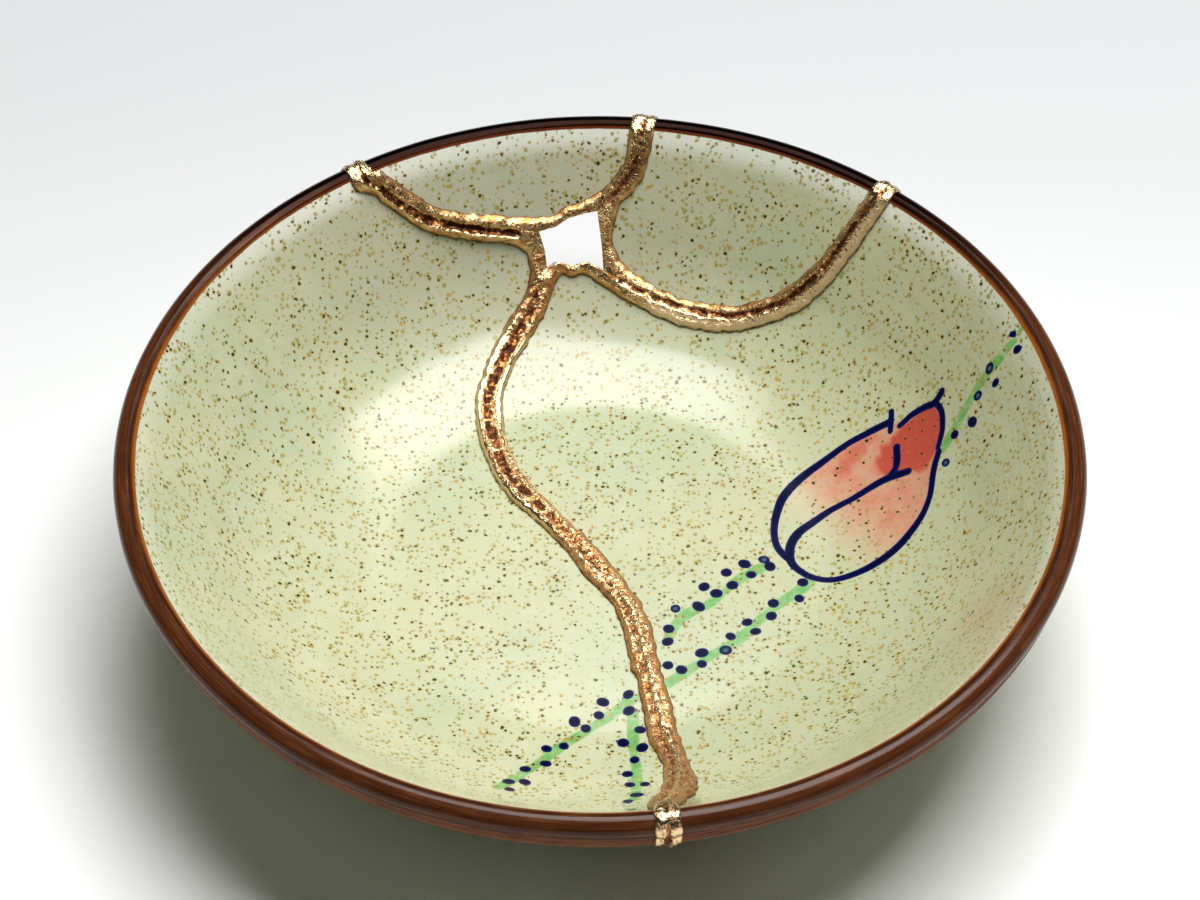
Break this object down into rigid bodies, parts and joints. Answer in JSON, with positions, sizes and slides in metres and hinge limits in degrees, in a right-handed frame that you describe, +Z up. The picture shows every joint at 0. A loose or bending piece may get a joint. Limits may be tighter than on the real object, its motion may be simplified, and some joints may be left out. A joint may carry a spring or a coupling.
{
  "type": "kintsugi dish",
  "caption": "Shallow flared stoneware dish on a foot ring, broken into sherds and rejoined with raised gold seams that wrap over the lip; one lost chip stays open.",
  "frame": {"origin": "centre of the bounding box's bottom, on the plane of the foot ring's resting face", "axes": "+Z up through the dish, +Y towards the side with the open hole, -Y towards the main seam's end at the rim"},
  "size_m": [0.1648, 0.1661, 0.043],
  "materials": {
    "glaze": "pale celadon glaze with iron speckles, glossy",
    "gold": "rough gold over lacquer"
  },
  "bodies": {
    "root": {"large_left_sherd": "glaze", "large_right_sherd": "glaze", "left_rim_sherd": "glaze", "right_rim_sherd": "glaze", "gold_seam": "gold"}
  },
  "joints": []
}
